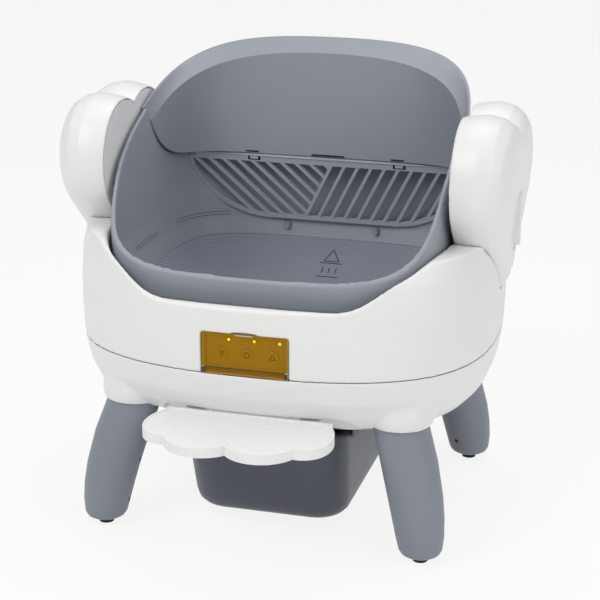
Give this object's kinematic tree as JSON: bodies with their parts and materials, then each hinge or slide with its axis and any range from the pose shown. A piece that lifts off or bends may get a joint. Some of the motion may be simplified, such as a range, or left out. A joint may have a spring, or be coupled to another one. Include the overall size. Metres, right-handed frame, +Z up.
{
  "type": "self-cleaning litter box",
  "caption": "Open-top litter box: a tilting drum with a hood and a slanted sieve between heart-shaped pods, on splayed legs, over a waste drawer with a step.",
  "frame": {"origin": "on the floor, under the middle of the bounding box", "axes": "+Z up, front towards -Y, +X to the right seen from the front"},
  "size_m": [0.5624, 0.544, 0.556],
  "materials": {
    "white_shell": "satin white moulded plastic",
    "drum_grey": "cool grey moulded plastic, fine texture",
    "hood_grey": "lighter grey moulded plastic, satin",
    "sieve_grey": "grey moulded plastic, satin",
    "liner_slate": "dark slate soft mat with fine ridges",
    "leg_slate": "slate grey moulded plastic, fine texture",
    "drawer_slate": "dark slate moulded plastic, satin",
    "step_white": "white moulded plastic with a speckled top",
    "cover_amber": "clear amber tinted flap",
    "panel_white": "satin moulded plastic",
    "lamp_clear": "clear light guide",
    "board_green": "coated circuit board",
    "pad_rubber": "black rubber",
    "screw_steel": "zinc plated steel",
    "gear_nylon": "natural acetal",
    "bush_nylon": "black acetal",
    "motor_steel": "plated steel can",
    "inner_grey": "grey moulded plastic",
    "inlet_black": "black moulded plastic"
  },
  "bodies": {
    "base": {"lower_shell": "white_shell", "upper_shell": "white_shell", "foot_pads": "pad_rubber", "leg_screws": "screw_steel", "power_inlet": "inlet_black", "drawer_rail_left": "inner_grey", "drawer_rail_right": "inner_grey", "control_panel": "panel_white", "control_board": "board_green", "indicator_lenses": "lamp_clear", "ear_plate_left": "inner_grey", "ear_plate_right": "inner_grey", "ear_cover_left": "white_shell", "ear_cover_right": "white_shell", "bearing_bush_left": "bush_nylon", "bearing_bush_right": "bush_nylon", "motor_bracket": "motor_steel", "drive_motor": "motor_steel", "leg_front_left": "leg_slate", "leg_front_right": "leg_slate", "leg_rear_left": "leg_slate", "leg_rear_right": "leg_slate"},
    "drum": {"drum_bin": "drum_grey", "hood": "hood_grey", "litter_liner": "liner_slate", "bump_stops": "drum_grey", "trunnion_left": "inner_grey", "trunnion_right": "inner_grey", "drum_gear": "gear_nylon"},
    "sieve": {"sieve_grille": "sieve_grey"},
    "pinion_gear": {"pinion": "gear_nylon"},
    "cover": {"panel_cover": "cover_amber"},
    "connect": {"connect_button": "panel_white"},
    "clean": {"clean_button": "panel_white"},
    "level": {"level_button": "panel_white"},
    "drawer": {"waste_drawer": "drawer_slate"},
    "step": {"step_tray": "step_white"},
    "knob_left": {"side_knob_left": "white_shell"},
    "knob_right": {"side_knob_right": "white_shell"}
  },
  "joints": [
    {"name": "drum_tilt", "type": "hinge", "parent": "base", "child": "drum", "pos_m": [0, 0.0386, 0.38], "axis": [-1, 0, 0], "range_deg": [0, 90]},
    {"name": "sieve_flap", "type": "hinge", "parent": "drum", "child": "sieve", "pos_m": [0, 0.18015, 0.39935], "axis": [-1, 0, 0], "range_deg": [0, 70]},
    {"name": "pinion_spin", "type": "hinge", "parent": "base", "child": "pinion_gear", "pos_m": [0.221, 0.0386, 0.437], "axis": [-1, 0, 0], "range_deg": [-340, 0]},
    {"name": "cover_flip", "type": "hinge", "parent": "base", "child": "cover", "pos_m": [0, -0.1786, 0.235], "axis": [1, 0, 0], "range_deg": [0, 95]},
    {"name": "connect_press", "type": "slide", "parent": "base", "child": "connect", "axis": [0, 1, 0], "range_m": [0, 0.0015], "stiffness_N_per_m": 400, "springref_m": -0.0008},
    {"name": "clean_press", "type": "slide", "parent": "base", "child": "clean", "axis": [0, 1, 0], "range_m": [0, 0.0015], "stiffness_N_per_m": 400, "springref_m": -0.0008},
    {"name": "level_press", "type": "slide", "parent": "base", "child": "level", "axis": [0, 1, 0], "range_m": [0, 0.0015], "stiffness_N_per_m": 400, "springref_m": -0.0008},
    {"name": "drawer_slide", "type": "slide", "parent": "base", "child": "drawer", "axis": [0, -1, 0], "range_m": [0, 0.22]},
    {"name": "step_slide", "type": "slide", "parent": "base", "child": "step", "axis": [0, -1, 0], "range_m": [0, 0.06]},
    {"name": "knob_left_turn", "type": "hinge", "parent": "base", "child": "knob_left", "pos_m": [-0.272, 0.0386, 0.38], "axis": [1, 0, 0], "range_deg": [0, 90]},
    {"name": "knob_right_turn", "type": "hinge", "parent": "base", "child": "knob_right", "pos_m": [0.272, 0.0386, 0.38], "axis": [1, 0, 0], "range_deg": [0, 90]}
  ],
  "couplings": [
    {"joint": "pinion_spin", "follows": "drum_tilt", "ratio": -3.75}
  ]
}
